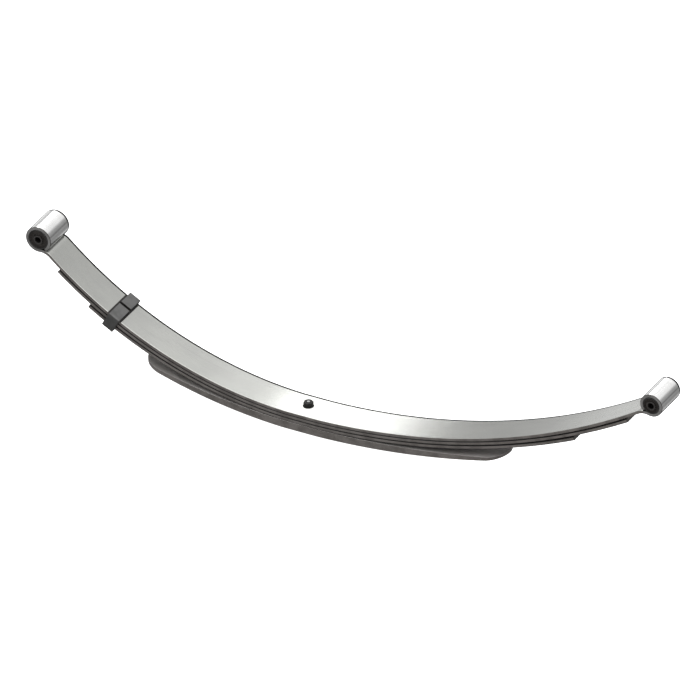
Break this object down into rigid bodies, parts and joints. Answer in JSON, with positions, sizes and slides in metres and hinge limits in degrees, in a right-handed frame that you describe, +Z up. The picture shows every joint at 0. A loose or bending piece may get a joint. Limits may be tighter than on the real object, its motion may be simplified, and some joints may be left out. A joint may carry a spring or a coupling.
{
  "type": "leaf spring",
  "caption": "Arched light-truck leaf spring: eyed main leaf, graduated leaves, tapered overload leaf, centre bolt, rebound clip and rubber-bushed eyes.",
  "frame": {"origin": "on the centre bolt's axis, in the plane of the overload leaf's level underside, where the spring sits on the axle", "axes": "+X towards the rear eye, +Y across the leaves, +Z up, from the axle seat towards the eyes"},
  "size_m": [1.3689, 0.089, 0.306],
  "materials": {
    "leaf_steel": "satin rolled spring steel, darker on the edges",
    "overload_steel": "dull rolled spring steel",
    "clip_steel": "dark bent strap, dull",
    "bolt_steel": "black oxide, slight sheen",
    "bushing_shell_steel": "black pressed shell",
    "sleeve_steel": "dark drawn tube",
    "bushing_rubber": "matt moulded",
    "liner_plastic": "matt moulded"
  },
  "bodies": {
    "clamped_stack": {"main_leaf": "leaf_steel", "second_leaf": "leaf_steel", "third_leaf": "leaf_steel", "overload_leaf": "overload_steel", "center_bolt": "bolt_steel", "center_bolt_nut": "bolt_steel"},
    "front_end": {"front_bushing_shell": "bushing_shell_steel", "front_bushing_rubber": "bushing_rubber", "rebound_clip": "clip_steel", "rebound_clip_rivet": "clip_steel", "front_second_leaf_liner": "liner_plastic", "front_third_leaf_liner": "liner_plastic"},
    "front_sleeve": {"front_bushing_sleeve": "sleeve_steel"},
    "rear_end": {"rear_bushing_shell": "bushing_shell_steel", "rear_bushing_rubber": "bushing_rubber", "rear_second_leaf_liner": "liner_plastic", "rear_third_leaf_liner": "liner_plastic"},
    "rear_sleeve": {"rear_bushing_sleeve": "sleeve_steel"}
  },
  "joints": [
    {"name": "front_flex", "type": "hinge", "parent": "clamped_stack", "child": "front_end", "pos_m": [-0.186, 0, 0.048], "axis": [0, -1, 0], "range_deg": [-3, 8], "stiffness_Nm_per_rad": 4300, "deforming": ["main_leaf", "second_leaf", "third_leaf"]},
    {"name": "front_bushing_twist", "type": "hinge", "parent": "front_end", "child": "front_sleeve", "pos_m": [-0.564, 0, 0.26916], "axis": [0, 1, 0], "range_deg": [-20, 20], "stiffness_Nm_per_rad": 110},
    {"name": "rear_flex", "type": "hinge", "parent": "clamped_stack", "child": "rear_end", "pos_m": [0.233, 0, 0.0468], "axis": [0, 1, 0], "range_deg": [-3, 6], "stiffness_Nm_per_rad": 3000, "deforming": ["main_leaf", "second_leaf", "third_leaf"]},
    {"name": "rear_bushing_twist", "type": "hinge", "parent": "rear_end", "child": "rear_sleeve", "pos_m": [0.754, 0, 0.27163], "axis": [0, 1, 0], "range_deg": [-20, 20], "stiffness_Nm_per_rad": 140}
  ]
}
